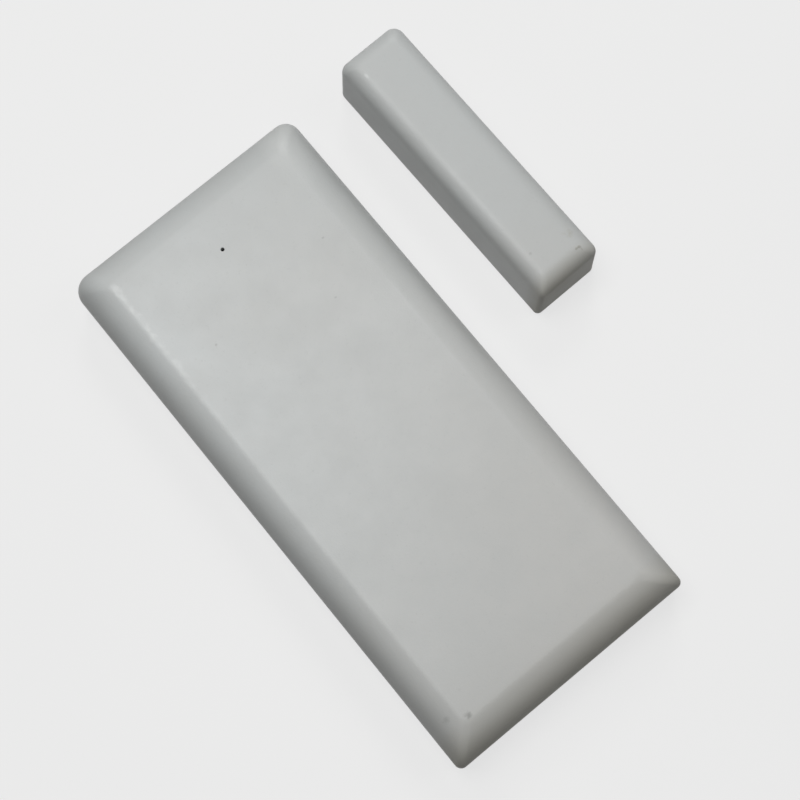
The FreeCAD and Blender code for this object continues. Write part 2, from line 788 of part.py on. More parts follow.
def pairing_button():
    x = s.button_x
    y = board_high - s.button_edge
    half = s.button_width / 2
    top = board_top + s.button_height
    case = box("button_case", (x - half, y - half, board_top), (x + half, y + half, top))
    bore = round_bar("button_bore_tool", (x, y, top - s.button_bore), s.button_bore_radius, s.button_bore)
    legs = []
    for side in MIRRORED:
        for end in MIRRORED:
            across = sorted_pair(x + half * side, x + (half + s.button_leg) * side)
            along = y + half / 2 * end
            legs.append(box(f"button_leg_{side}_{end}".replace("-", "m"),
                            (across[0], along - s.button_leg / 2, board_top),
                            (across[1], along + s.button_leg / 2, board_top + s.button_leg / 2)))
    keep(cut("button", fuse("button_blank", case, *legs), bore), "pairing_button_body")
    cap_z = top - s.button_bore + s.button_room
    straight = s.button_cap - s.button_cap_edge
    stem = round_bar("button_cap_stem", (x, y, cap_z), s.button_cap_radius, straight)
    crown = round_bar("button_cap_crown", (x, y, cap_z + straight), s.button_cap_radius, s.button_cap_edge,
                      top_radius=s.button_cap_radius - s.button_cap_edge)
    keep(fuse("button_cap_solid", stem, crown), "pairing_button_cap")


def tamper_switch():
    """A plunger in the back plate's window, held in a case under the board and returned by a spring."""
    x = s.tamper_x
    y = tamper_y
    half = s.tamper_width / 2
    bottom = s.plate + s.tamper_floor_gap
    floor = bottom + s.tamper_floor
    case = box("tamper_case", (x - half, y - half, bottom), (x + half, y + half, board_under))
    bore = round_bar("tamper_bore_tool", (x, y, floor), s.tamper_bore_radius, board_under - floor)
    hole = round_bar("tamper_hole_tool", (x, y, bottom), s.plunger_radius + s.hole_gap, s.tamper_floor)
    keep(cut("tamper", case, bore, hole), "tamper_switch_body")
    flange_z = floor + s.touch_gap
    flange_top = flange_z + s.plunger_flange
    tip_top = s.plunger_recess + s.plunger_tip
    tip = round_bar("plunger_tip_cone", (x, y, s.plunger_recess), s.plunger_radius - s.plunger_tip,
                    s.plunger_tip, top_radius=s.plunger_radius)
    stem = round_bar("plunger_stem", (x, y, tip_top), s.plunger_radius, flange_z - tip_top)
    flange = round_bar("plunger_flange_disc", (x, y, flange_z), s.plunger_flange_radius, s.plunger_flange)
    pin = round_bar("plunger_guide", (x, y, flange_top), s.plunger_pin_radius, s.plunger_pin)
    keep(fuse("plunger", tip, stem, flange, pin), "tamper_plunger")
    end_gap = s.tamper_spring_wire_radius + s.touch_gap
    winding = coil("tamper_winding", (x, y, flange_top + end_gap), s.tamper_spring_radius,
                   s.tamper_spring_pitch, board_under - flange_top - end_gap * 2, s.tamper_spring_wire_radius)
    keep(winding, "tamper_spring")


# Cells and contacts: the left cell points up, the right one down

def battery_cells():
    body_length = s.cell_length - s.cell_tip
    left_low = bay_low + s.strip + s.spring_length + s.contact_gap
    right_high = bay_high - s.strip - s.spring_length - s.contact_gap
    can_left = round_bar("cell_can_left", (-s.cell_x, left_low, cell_z), s.cell_radius, body_length,
                         along="Y")
    tip_left = round_bar("cell_tip_left", (-s.cell_x, left_low + body_length, cell_z), s.cell_tip_radius,
                         s.cell_tip, along="Y")
    keep(fuse("cell_left", can_left, tip_left), "battery_cell_left")
    can_right = round_bar("cell_can_right", (s.cell_x, right_high - body_length, cell_z), s.cell_radius,
                          body_length, along="Y")
    tip_right = round_bar("cell_tip_right", (s.cell_x, right_high - s.cell_length, cell_z),
                          s.cell_tip_radius, s.cell_tip, along="Y")
    keep(fuse("cell_right", can_right, tip_right), "battery_cell_right")


def contact_springs():
    length = s.spring_length - s.spring_wire_radius * 2 - s.touch_gap * 2
    lift = s.strip + s.spring_wire_radius + s.touch_gap
    lower = coil("link_winding", (-s.cell_x, bay_low + lift, cell_z), s.spring_wide_radius, s.spring_pitch,
                 length, s.spring_wire_radius, along="Y", taper=-s.spring_taper_angle)
    keep(lower, "link_spring")
    narrow = s.spring_wide_radius - length * Size(math.tan(math.radians(s.spring_taper_angle.number)),
                                                  f"tan({s.spring_taper_angle.formula} * 1deg)")
    upper = coil("negative_winding", (s.cell_x, bay_high - lift - length, cell_z), narrow, s.spring_pitch,
                 length, s.spring_wire_radius, along="Y", taper=s.spring_taper_angle)
    keep(upper, "negative_spring")


def contact_strips():
    low_z = s.plate + s.contact_gap
    high_z = s.plate + s.strip_rise
    reach = s.cell_x + s.strip_half_width
    link = box("link_strip", (-reach, bay_low, low_z), (reach, bay_low + s.strip, high_z))
    link_dimple = round_bar("link_dimple", (s.cell_x, bay_low + s.strip, cell_z), s.dimple_radius, s.dimple,
                            along="Y", top_radius=s.dimple_radius / 2)
    keep(fuse("link", link, link_dimple), "link_plate")
    inner_face = bay_high - s.strip
    for side, label in ((-1, "positive"), (1, "negative")):
        x = s.cell_x * side
        strip = box(label + "_strip", (x - s.strip_half_width, inner_face, low_z),
                    (x + s.strip_half_width, bay_high, high_z))
        ear = box(label + "_ear", (x - s.ear_half_width, bay_high, board_top),
                  (x + s.ear_half_width, bay_high + s.ear_length, board_top + s.strip))
        solids = [strip, ear]
        if label == "positive":
            solids.append(round_bar("positive_dimple", (x, inner_face - s.dimple, cell_z),
                                    s.dimple_radius / 2, s.dimple, along="Y", top_radius=s.dimple_radius))
        keep(fuse(label + "_contact", *solids), label + "_tab")


# Magnet housing, built about its own origin and then set beside the large housing

def set_beside(thing):
    thing.Placement = FreeCAD.Placement(FreeCAD.Vector(), FreeCAD.Rotation(FreeCAD.Vector(0, 0, 1), 1))
    place(thing, s.magnet_case_x, s.magnet_case_y, ZERO)
    bind(thing, "Placement.Rotation.Angle", s.magnet_case_turn)


def drafted_edge(body, name, role, half, towards):
    """Rounds one top edge of the drafted block by an arc that leaves the wall without a step."""
    radius = s.magnet_case_edge_radius
    top = s.magnet_case_height
    slope = Size(math.radians(s.magnet_case_draft.number), f"({s.magnet_case_draft.formula} * 1deg / 1rad)")
    lean = Size(math.tan(slope.number), f"tan({s.magnet_case_draft.formula} * 1deg)")
    across = Size(math.cos(slope.number), f"cos({s.magnet_case_draft.formula} * 1deg)")
    climb = Size(math.sin(slope.number), f"sin({s.magnet_case_draft.formula} * 1deg)")
    centre_z = top - radius
    centre = half - (centre_z - s.case_lift) * lean - radius / across
    foot = ((centre + radius * across) * towards, centre_z + radius * climb)
    beyond = (half + s.trim_margin) * towards
    above = top + s.trim_margin
    sketch = sketch_on(body, role, name + "_outline")
    full = Part.Circle(vector(centre * towards, centre_z), FreeCAD.Vector(0, 0, 1), radius.number)
    angles = (slope.number, math.pi / 2) if towards > 0 else (math.pi / 2, math.pi - slope.number)
    foot_end, front_end = (1, 2) if towards > 0 else (2, 1)
    sketch.addGeometry(Part.ArcOfCircle(full, *angles), False)
    trim_outside(sketch, ((centre * towards, top), (centre * towards, above), (beyond, above),
                          (beyond, foot[1]), foot), foot_end, front_end)
    constrain(sketch, "DistanceY", -1, 1, 0, 3, centre_z)
    return pocket(body, sketch, s.magnet_case_length * 2, name, symmetric=True)


def magnet_cover():
    body = doc.addObject("PartDesign::Body", "magnet_cover_body")
    half_x = s.magnet_case_width / 2
    half_y = s.magnet_case_length / 2
    top = s.magnet_case_height
    outline = sketch_on(body, "XY_Plane", "magnet_cover_outline", s.case_lift)
    rectangle(outline, -half_x, half_x, -half_y, half_y)
    pad(body, outline, top - s.case_lift, "magnet_cover_block", taper=-s.magnet_case_draft)
    drafted_edge(body, "magnet_cover_right", "XZ_Plane", half_x, 1)
    drafted_edge(body, "magnet_cover_left", "XZ_Plane", half_x, -1)
    drafted_edge(body, "magnet_cover_upper", "YZ_Plane", half_y, 1)
    trimmed = drafted_edge(body, "magnet_cover_lower", "YZ_Plane", half_y, -1)
    near_y = (half_y - s.magnet_case_edge_radius - s.magnet_wall).number
    round_edges(body, trimmed, lambda middle, rise: abs(middle.y) > near_y
                and rise > s.magnet_case_corner_radius.number and abs(middle.x) > s.magnet_wall.number,
                s.magnet_case_corner_radius, "magnet_cover_corners")
    inner_x = half_x - s.magnet_wall
    inner_y = half_y - s.magnet_wall
    hollow = sketch_on(body, "XY_Plane", "magnet_hollow_outline", s.case_lift)
    rectangle(hollow, -inner_x, inner_x, -inner_y, inner_y)
    pocket(body, hollow, top - s.magnet_wall - s.case_lift, "magnet_hollow", upward=True)
    magnet_top = s.magnet_plate + s.magnet_height + s.magnet_gap
    crush = sketch_on(body, "XY_Plane", "crush_ribs_outline", magnet_top)
    for end in MIRRORED:
        y = s.crush_rib_offset * end
        rectangle(crush, -inner_x, inner_x, y - s.crush_rib / 2, y + s.crush_rib / 2)
    body.Tip = pad(body, crush, top - s.magnet_wall - magnet_top, "crush_ribs")
    set_beside(body)
    keep(body, "magnet_cover")


def magnet_base():
    body = doc.addObject("PartDesign::Body", "magnet_base_body")
    half_x = s.magnet_case_width / 2 - s.magnet_wall - s.fit_gap
    half_y = s.magnet_case_length / 2 - s.magnet_wall - s.fit_gap
    outline = sketch_on(body, "XY_Plane", "magnet_base_outline")
    rectangle(outline, -half_x, half_x, -half_y, half_y)
    pad(body, outline, s.magnet_plate, "magnet_base_slab")
    stops = sketch_on(body, "XY_Plane", "magnet_stops_outline", s.magnet_plate)
    face_y = s.magnet_length / 2 + s.magnet_gap
    for end in MIRRORED:
        rectangle(stops, -half_x, half_x, *sorted_pair(face_y * end, (face_y + s.rib) * end))
    face_x = s.magnet_width / 2 + s.magnet_gap
    for side in MIRRORED:
        rectangle(stops, *sorted_pair(face_x * side, half_x * side), -face_y, face_y)
    pad(body, stops, s.magnet_rib_rise, "magnet_stops")
    holes = sketch_on(body, "XY_Plane", "magnet_base_holes_outline", s.magnet_plate)
    for end in MIRRORED:
        circle(holes, ZERO, magnet_screw_offset * end, s.screw_hole_radius)
    body.Tip = pocket(body, holes, s.magnet_plate, "magnet_base_holes")
    set_beside(body)
    keep(body, "magnet_base")


def bar_magnet():
    body = doc.addObject("PartDesign::Body", "bar_magnet_body")
    half_x = s.magnet_width / 2
    half_y = s.magnet_length / 2
    outline = sketch_on(body, "XY_Plane", "bar_magnet_outline", s.magnet_plate)
    rectangle(outline, -half_x, half_x, -half_y, half_y)
    bar = pad(body, outline, s.magnet_height, "bar_magnet_bar")
    body.Tip = round_edges(body, bar, lambda middle, rise: abs(rise - s.magnet_height.number) < 0.01,
                           s.magnet_bevel, "bar_magnet_bevels", kind="PartDesign::Chamfer", size_name="Size")
    set_beside(body)
    keep(body, "bar_magnet")


front_cover()
back_plate()
circuit_board()
board_screws()
status_led()
reed_switch()
microcontroller_chip()
can("radio_shield", s.shield_x, board_high - s.shield_edge, s.shield_width, s.shield_length,
    s.shield_height, s.shield_radius, s.crystal_flange)
can("crystal_can", s.crystal_x, board_low + s.crystal_edge, s.crystal_length, s.crystal_width,
    s.crystal_height, s.crystal_width / 2 - s.touch_gap, s.crystal_flange)
storage_capacitor()
chip_resistors()
antenna_coil()
pairing_button()
tamper_switch()
battery_cells()
contact_springs()
contact_strips()
magnet_cover()
magnet_base()
bar_magnet()
doc.recompute()

# Checks, then one file for each piece

for thing in doc.Objects:
    if "Invalid" in thing.State or "Error" in thing.State:
        raise RuntimeError(f"{thing.Label} did not build: {thing.State}")
for piece in pieces:
    if piece.Shape.isNull() or not piece.Shape.isValid() or not piece.Shape.Solids:
        raise RuntimeError(f"{piece.Label} has no valid solid")

os.makedirs("parts", exist_ok=True)
for piece in pieces:
    piece.Shape.exportStep(f"parts/{piece.Label}.step")
    bounds = piece.Shape.BoundBox
    print(f"{piece.Label}: {len(piece.Shape.Solids)} solids, {piece.Shape.Volume:.1f} mm3, "
          f"x {bounds.XMin:.2f}..{bounds.XMax:.2f}, y {bounds.YMin:.2f}..{bounds.YMax:.2f}, "
          f"z {bounds.ZMin:.2f}..{bounds.ZMax:.2f}")
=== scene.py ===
import math

import bpy
from mathutils import Matrix, Vector


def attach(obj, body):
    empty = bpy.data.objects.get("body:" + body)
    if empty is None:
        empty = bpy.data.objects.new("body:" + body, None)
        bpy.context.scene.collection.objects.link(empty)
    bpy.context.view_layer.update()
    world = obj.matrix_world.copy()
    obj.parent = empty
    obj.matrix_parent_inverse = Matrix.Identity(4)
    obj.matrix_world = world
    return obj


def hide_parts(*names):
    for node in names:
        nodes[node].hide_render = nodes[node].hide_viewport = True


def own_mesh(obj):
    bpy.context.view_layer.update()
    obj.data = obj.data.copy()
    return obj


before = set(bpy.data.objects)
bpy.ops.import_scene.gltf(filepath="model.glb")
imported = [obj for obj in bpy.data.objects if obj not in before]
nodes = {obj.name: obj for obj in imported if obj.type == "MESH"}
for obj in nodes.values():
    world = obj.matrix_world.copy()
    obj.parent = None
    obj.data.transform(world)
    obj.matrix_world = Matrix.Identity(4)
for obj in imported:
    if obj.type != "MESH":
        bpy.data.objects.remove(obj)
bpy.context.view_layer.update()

collection = bpy.context.scene.collection

# Sizes are in millimetres where nothing else is said. The part's upper end is at +Y, and its magnet housing
# stands at +X of the large one.
MM = 0.001

# Large housing, as in the part's source. Its lower crease and its corners are nearer to the photo's here.
WIDTH, LENGTH, HEIGHT, LIFT, WALL = 48.7, 106.0, 14.5, 0.4, 1.6
# the height of the walls, and of the shoulders above them
WALL_TOP, RISE = 7.5, 7.0
# how far in the crease lies at the sides, at the lower end and at the upper end
SIDE, LOWER, UPPER = 5.6, 5.7, 7.2
INSETS = (SIDE, LOWER, UPPER)
# the radius of both covers' lower edges
LIP = 0.25
# radii of the lower right, upper right, upper left and lower left corner, here and wherever there are four
CORNERS = (1.1, 2.8, 3.3, 1.3)
CREASE_CORNERS = (1.5, 1.4, 1.4, 1.5)
INNER_CORNERS = (0.8, 0.8, 0.8, 0.8)
# the crease turns over from so far below the front to so far in on it, and a ring of the shoulder that would
# be nearer than this is left out
TURN_DEPTH, TURN_IN, TOO_NEAR = 0.10, 0.32, 0.02
# further rings on the flat front, so far in from the turn
FRONT_RINGS = (2.5, 6.0, 10.0)
PINHOLE_X, PINHOLE_Y, PINHOLE_RADIUS = 0.0, 39.8, 0.35
# the pinhole's cutter reaches so far below the front and above it, and the faces so near its axis are flat
CUT_BELOW, CUT_ABOVE, PINHOLE_RIM = 3.0, 1.0, 0.6

# Magnet housing. Its walls lean in by the draft, and its upper edge is an arc of radius EDGE.
BAR_WIDTH, BAR_LENGTH, BAR_HEIGHT, BAR_WALL = 13.8, 55.1, 13.5, 1.5
DRAFT = math.radians(1.7)
EDGE = 3.2
BAR_CORNERS = (1.5, 2.0, 1.7, 1.0)
BAR_TOP_CORNERS = (0.9, 1.0, 0.6, 0.6)
BAR_INNER_CORNERS = (0.3, 0.3, 0.3, 0.3)
BAR_PLACE = Matrix.Translation((43.15, 26.3, 0)) @ Matrix.Rotation(math.radians(0.81), 4, "Z")
# the large housing lies at a smaller x than this, and the magnet housing at a larger one
GAP_X = 31.5

# How finely the covers are divided
CORNER_STEPS, LIP_STEPS, PINHOLE_STEPS = 12, 4, 32
ROOF_STEPS, WALL_STEPS, SHOULDER_STEPS, TURN_STEPS = 12, 6, 28, 6
BAR_WALL_STEPS, EDGE_STEPS = 8, 18


# Materials

class Nodes:
    """Short names for building a node tree."""

    def __init__(self, tree):
        self.tree = tree

    def add(self, kind, **values):
        """A node. Values named in_ and a socket's name or number set that socket, the others the node."""
        node = self.tree.nodes.new("ShaderNode" + kind)
        for key, value in values.items():
            if key.startswith("in_"):
                name = key[3:]
                node.inputs[int(name) if name.isdigit() else name].default_value = value
            else:
                setattr(node, key, value)
        return node

    def link(self, source, target):
        self.tree.links.new(source, target)

    def place(self):
        """The point on the object."""
        coordinates = self.add("TexCoord")
        scale = self.add("VectorMath", operation="SCALE", in_3=1 / MM)
        self.link(coordinates.outputs["Object"], scale.inputs[0])
        return scale.outputs[0]

    def axes(self, place):
        """The point's x, y and z."""
        split = self.add("SeparateXYZ")
        self.link(place, split.inputs[0])
        return split.outputs

    def noise(self, place, size, detail=2.0, roughness=0.5):
        """Noise whose features are about size millimetres across."""
        noise = self.add("TexNoise", in_Scale=1.0 / size, in_Detail=detail, in_Roughness=roughness)
        self.link(place, noise.inputs["Vector"])
        return noise.outputs["Fac"]

    def ramp(self, value, low, high, first=0.0, last=1.0):
        """value from low..high brought to first..last, clamped."""
        ranges = self.add("MapRange", in_1=low, in_2=high, in_3=first, in_4=last)
        self.link(value, ranges.inputs["Value"])
        return ranges.outputs["Result"]

    def math(self, operation, *values):
        node = self.add("Math", operation=operation)
        for socket, value in zip(node.inputs, values):
            if isinstance(value, (int, float)):
                socket.default_value = value
            else:
                self.link(value, socket)
        return node.outputs[0]

    def product(self, first, *others):
        for other in others:
            first = self.math("MULTIPLY", first, other)
        return first

    def weighed(self, x, y, x_share, y_share):
        """x and y added up, each times its share."""
        return self.math("ADD", self.product(x, x_share), self.product(y, y_share))

    def distance(self, dx, dy):
        return self.math("SQRT", self.math("ADD", self.product(dx, dx), self.product(dy, dy)))

    def mix(self, factor, first, second):
        """first where the factor is 0 and second where it is 1."""
        node = self.add("Mix", data_type="RGBA")
        # a mix of colours has its sockets at 0, 6 and 7 and its result at 2
        for socket, value in ((node.inputs[0], factor), (node.inputs[6], first), (node.inputs[7], second)):
            if isinstance(value, tuple):
                socket.default_value = (*value, 1.0)
            else:
                self.link(value, socket)
        return node.outputs[2]

    def vary(self, noise, first=0.0, last=1.0):
        """Noise from its usual reach, 0.3 to 0.7, brought to first..last."""
        return self.ramp(noise, 0.3, 0.7, first, last)

    def bump(self, height, strength, distance, normal=None):
        """A normal bent by the height, which stands for distance millimetres."""
        node = self.add("Bump", in_Strength=strength, in_Distance=distance * MM)
        self.link(height, node.inputs["Height"])
        if normal is not None:
            self.link(normal, node.inputs["Normal"])
        return node.outputs["Normal"]


def new_material(name):
    """A material, what builds its node tree, and its shader."""
    material = bpy.data.materials.new(name)
    material.use_nodes = True
    tree = material.node_tree
    return material, Nodes(tree), tree.nodes["Principled BSDF"]


def set_inputs(shader, values):
    """Gives the shader's named inputs fixed values."""
    for name, value in values.items():
        shader.inputs[name].default_value = value


# Cover plastic. Its tone runs from a painted sheen at the upper left to painted shade at the lower right.
SHEEN_TONE, SHADE_TONE = (0.584, 0.607, 0.603), (0.549, 0.551, 0.535)
# Broad tints over it, as the photo shows them: how much x and y count, where the tint begins and where it
# is full, how strong it is there, whether the large cover alone has it, and its tone
TINTS_AND_PAINTED_LIGHT = (
    # duller and cooler at the upper right and on the magnet housing
    (1.2, 1.0, 35.0, 65.0, 0.70, False, (0.508, 0.530, 0.527)),
    # warmer towards the lower end, and paler at its right, a painted sheen
    (0.0, 1.0, -15.0, -45.0, 0.25, False, (0.500, 0.496, 0.474)),
    (0.8, -1.0, 35.0, 60.0, 0.68, False, (0.620, 0.615, 0.598)),
    # duller along the upper crease and the lower one: painted shade where the shoulders turn away from the
    # light
    (0.0, 1.0, 38.0, 50.0, 0.30, True, (0.520, 0.540, 0.537)),
    (0.0, 1.0, -39.0, -47.0, 0.35, True, (0.470, 0.467, 0.445)),
)
# painted light on the upper end of the large cover's right shoulder
PAINTED_LIGHT_SHOULDER = (0.665, 0.685, 0.675)
# painted shade low on the large cover's shoulders
LOW_SHADE = (0.34, 0.35, 0.34)
# grime with painted shade on the lower ends, and painted shade in a grime tone on the large cover's lower
# shoulder
GRIME_AND_SHADE, END_SHADE = (0.430, 0.412, 0.352), (0.270, 0.262, 0.224)
PORE = (0.36, 0.37, 0.36)
# wear with a painted highlight along the left crease, and where that crease lies in x
WEAR_AND_HIGHLIGHT = (0.72, 0.735, 0.73)
BRIGHT_CREASE_X = -18.35
# a painted highlight: the glint on the magnet housing's upper corner
GLINT_X, GLINT_Y = 38.77, 48.6
# the painted shade and the grime are weaker on the walls below the shoulders, fading from the first height
# down to the second
FOOT_TOP, FOOT_LOW = 9.6, 7.6
# the lower ends get grime and painted shade from the first y down to the second
CASE_END, BAR_END = (-46.0, -52.8), (2.6, -0.9)

# Where the photo shows specks on the covers: x, y, half length, half width, turn in degrees, how strong,
# how soft its rim and its tone
DARK = (0.16, 0.16, 0.15)
BROWN = (0.25, 0.235, 0.195)
OLIVE = (0.34, 0.335, 0.26)
SPECKS = (
    (-17.42, -46.62, 0.74, 0.64, 40, 0.56, 0.85, DARK),
    (-17.95, -46.20, 0.50, 0.40, 140, 0.18, 0.90, DARK),
    (-20.70, -44.90, 0.85, 0.62, 10, 0.24, 0.90, DARK),
    (-11.10, 27.50, 0.30, 0.26, 0, 0.28, 0.60, DARK),
    (14.50, 30.50, 0.28, 0.24, 0, 0.26, 0.60, DARK),
    (9.60, 21.00, 0.26, 0.22, 0, 0.22, 0.60, DARK),
    (47.30, 1.62, 0.40, 0.28, -40, 0.60, 0.65, BROWN),
    (46.80, 1.68, 0.38, 0.28, 5, 0.56, 0.65, BROWN),
    (47.46, 1.12, 0.34, 0.20, 95, 0.34, 0.65, BROWN),
    (40.10, 6.00, 0.38, 0.28, 20, 0.24, 0.80, DARK),
    (47.60, 4.40, 0.85, 0.65, 60, 0.34, 0.90, OLIVE),
    (46.90, 5.00, 0.60, 0.40, 140, 0.16, 0.90, OLIVE),
)


def tinted(n, x, y, on_case):
    """The plastic's tone with its broad tints, some of them painted sheen and painted shade."""
    # painted sheen at the upper left, fading into painted shade at the lower right
    colour = n.mix(n.ramp(n.weighed(x, y, -1.4, 1.0), -60.0, 60.0), SHADE_TONE, SHEEN_TONE)
    for x_share, y_share, begin, full, strong, case_only, tone in TINTS_AND_PAINTED_LIGHT:
        factor = n.ramp(n.weighed(x, y, x_share, y_share), begin, full, 0.0, strong)
        if case_only:
            factor = n.product(on_case, factor)
        colour = n.mix(factor, colour, tone)
    # painted light: the large cover's right shoulder is paler at its upper end
    pale = n.product(n.ramp(x, 15.5, 19.0), n.ramp(y, 38.0, 49.0), on_case, 0.65)
    return n.mix(pale, colour, PAINTED_LIGHT_SHOULDER)


def wear_and_highlight(n, place, x, y, z):
    """Where the cover is worn and has a painted highlight: along the upper part of the left crease, in
    patches, and at one painted glint.
    """
    waver = n.vary(n.noise(place, 1.5, 2.0, 0.6), -0.40, 0.40)
    off_crease = n.math("ADD", n.math("ABSOLUTE", n.math("SUBTRACT", x, BRIGHT_CREASE_X)), waver)
    reach = n.product(n.ramp(y, 12.0, 34.0), n.ramp(y, 47.4, 46.4))
    patches = n.ramp(n.noise(place, 2.4, 2.0, 0.6), 0.42, 0.60, 0.15, 1.0)
    crease = n.product(n.ramp(off_crease, 0.75, 0.15), reach, patches, n.ramp(z, 14.0, 14.3))
    # the painted glint is longer along the bar than across it
    glint = n.distance(n.math("SUBTRACT", x, GLINT_X), n.product(n.math("SUBTRACT", y, GLINT_Y), 0.45))
    return n.math("MAXIMUM", crease, n.ramp(glint, 0.32, 0.12))


def speckled(n, place, x, y, colour):
    """Lays every speck over the colour, each an oval with an uneven rim."""
    wobble = n.vary(n.noise(place, 0.5, 1.0, 0.5), -0.25, 0.25)
    for speck_x, speck_y, long, wide, turn, strong, soft, tone in SPECKS:
        dx = n.math("SUBTRACT", x, speck_x)
        dy = n.math("SUBTRACT", y, speck_y)
        cosine, sine = math.cos(math.radians(turn)), math.sin(math.radians(turn))
        along = n.weighed(dx, dy, cosine / long, sine / long)
        across = n.weighed(dx, dy, -sine / wide, cosine / wide)
        far = n.math("ADD", n.distance(along, across), wobble)
        colour = n.mix(n.ramp(far, 1.0 - soft, 1.1, strong, 0.0), colour, tone)
    return colour


def cover_plastic():
    """Off-white housing plastic with a fine moulded grain, painted sheen and painted shade, faint grime, a
    worn edge with a painted highlight, a painted glint and small marks.
    """
    material, n, shader = new_material("cover_plastic")
    place = n.place()
    x, y, z = n.axes(place)
    on_case = n.ramp(x, GAP_X + 0.5, GAP_X - 0.5)
    on_bar = n.ramp(x, GAP_X - 0.5, GAP_X + 0.5)
    colour = tinted(n, x, y, on_case)
    # uneven tone, from broad to fine
    broad = n.noise(place, 34.0, 2.0, 0.5)
    cloud = n.noise(place, 9.0, 4.0, 0.6)
    mottle = n.noise(place, 2.2, 3.0, 0.6)
    for noise, low, high, strong, tone in ((cloud, 0.35, 0.68, 0.32, (0.520, 0.534, 0.524)),
                                           (broad, 0.45, 0.75, 0.22, (0.553, 0.545, 0.518)),
                                           (mottle, 0.30, 0.70, 0.10, (0.480, 0.495, 0.490))):
        colour = n.mix(n.ramp(noise, low, high, 0.0, strong), colour, tone)
    # painted shade: the large cover's shoulders are duller low down, most on the left
    foot = n.ramp(z, FOOT_TOP, FOOT_LOW, 1.0, 0.1)
    leftward = n.ramp(x, -18.0, 18.0, 1.0, 0.45)
    colour = n.mix(n.product(on_case, leftward, n.ramp(z, 14.0, 8.5, 0.0, 0.75), foot), colour, LOW_SHADE)
    # grime with painted shade on the lower ends, painted shade in a grime tone low on the large cover's lower
    # shoulder, and grime in the pores
    case_end = n.ramp(y, *CASE_END)
    bar_end = n.product(on_bar, n.ramp(y, *BAR_END))
    low_end = n.math("MAXIMUM", n.product(case_end, n.ramp(z, FOOT_TOP, FOOT_LOW, 1.0, 0.4)), bar_end)
    colour = n.mix(n.product(low_end, n.ramp(cloud, 0.25, 0.7, 0.45, 0.75)), colour, GRIME_AND_SHADE)
    colour = n.mix(n.product(case_end, n.ramp(z, 14.0, 8.8, 0.0, 0.75), foot), colour, END_SHADE)
    pores = n.noise(place, 0.55, 2.0, 0.7)
    colour = n.mix(n.ramp(pores, 0.62, 0.76, 0.0, 0.16), colour, PORE)
    # wear with a painted highlight along the left crease, and the painted glint
    colour = n.mix(n.product(wear_and_highlight(n, place, x, y, z), 0.6), colour, WEAR_AND_HIGHLIGHT)
    n.link(speckled(n, place, x, y, colour), shader.inputs["Base Color"])
    roughness = n.math("ADD", n.vary(cloud, 0.42, 0.48), n.product(low_end, 0.14))
    n.link(roughness, shader.inputs["Roughness"])
    set_inputs(shader, {"IOR": 1.46, "Specular IOR Level": 0.55, "Subsurface Weight": 0.06,
                        "Subsurface Radius": (1.0, 0.9, 0.8), "Subsurface Scale": 1.2 * MM})
    grain = n.noise(place, 0.34, 2.0, 0.55)
    waves = n.noise(place, 5.0, 1.0, 0.5)
    n.link(n.bump(grain, 0.14, 0.12, n.bump(waves, 0.05, 0.6)), shader.inputs["Normal"])
    return material


def moulded(name, colour, second, roughness, grain, mottling):
    """Plain moulded or coated material with a little mottling and grain."""
    material, n, shader = new_material(name)
    place = n.place()
    cloud = n.noise(place, mottling, 3.0, 0.6)
    n.link(n.mix(n.ramp(cloud, 0.35, 0.7), colour, second), shader.inputs["Base Color"])
    n.link(n.vary(cloud, roughness - 0.06, roughness + 0.08), shader.inputs["Roughness"])
    fine = n.noise(place, grain, 2.0, 0.5)
    n.link(n.bump(fine, 0.25, 0.1), shader.inputs["Normal"])
    return material


def metal(name, colour, second, roughness, stretch):
    """Bare metal with fine drawn or ground streaks."""
    material, n, shader = new_material(name)
    place = n.place()
    mapping = n.add("Mapping", in_Scale=stretch)
    n.link(place, mapping.inputs["Vector"])
    streaks = n.noise(mapping.outputs[0], 0.3, 3.0, 0.6)
    dull = n.noise(place, 2.5, 2.0, 0.5)
    n.link(n.mix(n.ramp(dull, 0.35, 0.7), colour, second), shader.inputs["Base Color"])
    set_inputs(shader, {"Metallic": 1.0})
    n.link(n.vary(streaks, roughness - 0.08, roughness + 0.12), shader.inputs["Roughness"])
    n.link(n.bump(streaks, 0.2, 0.05), shader.inputs["Normal"])
    return material


def clear(name, colour):
    """Glass or clear resin with faint ripples."""
    material, n, shader = new_material(name)
    ripple = n.noise(n.place(), 1.5, 1.0, 0.5)
    second = tuple(part * 0.94 for part in colour)
    n.link(n.mix(n.vary(ripple), colour, second), shader.inputs["Base Color"])
    n.link(n.vary(ripple, 0.05, 0.11), shader.inputs["Roughness"])
    set_inputs(shader, {"Transmission Weight": 0.92, "IOR": 1.5})
    n.link(n.bump(ripple, 0.05, 0.1), shader.inputs["Normal"])
    return material


def board_laminate():
    """Green solder mask over copper tracks, with the weave of the laminate faintly showing."""
    material, n, shader = new_material("board_laminate")
    place = n.place()
    x, y, _ = n.axes(place)
    # the tracks run along the board and bend with a broad noise
    bent = n.noise(place, 9.0, 0.0, 0.5)
    tracks = n.ramp(n.math("SINE", n.weighed(x, bent, 2.1, 9.0)), 0.55, 0.75)
    weave = n.product(n.math("SINE", n.product(x, 9.0)), n.math("SINE", n.product(y, 9.0)))
    colour = n.mix(tracks, (0.012, 0.085, 0.035), (0.028, 0.16, 0.065))
    colour = n.mix(n.ramp(weave, -1.0, 1.0, 0.0, 0.12), colour, (0.03, 0.12, 0.05))
    n.link(colour, shader.inputs["Base Color"])
    set_inputs(shader, {"Roughness": 0.32})
    n.link(n.bump(n.weighed(tracks, weave, 0.6, 0.05), 0.4, 0.05), shader.inputs["Normal"])
    return material


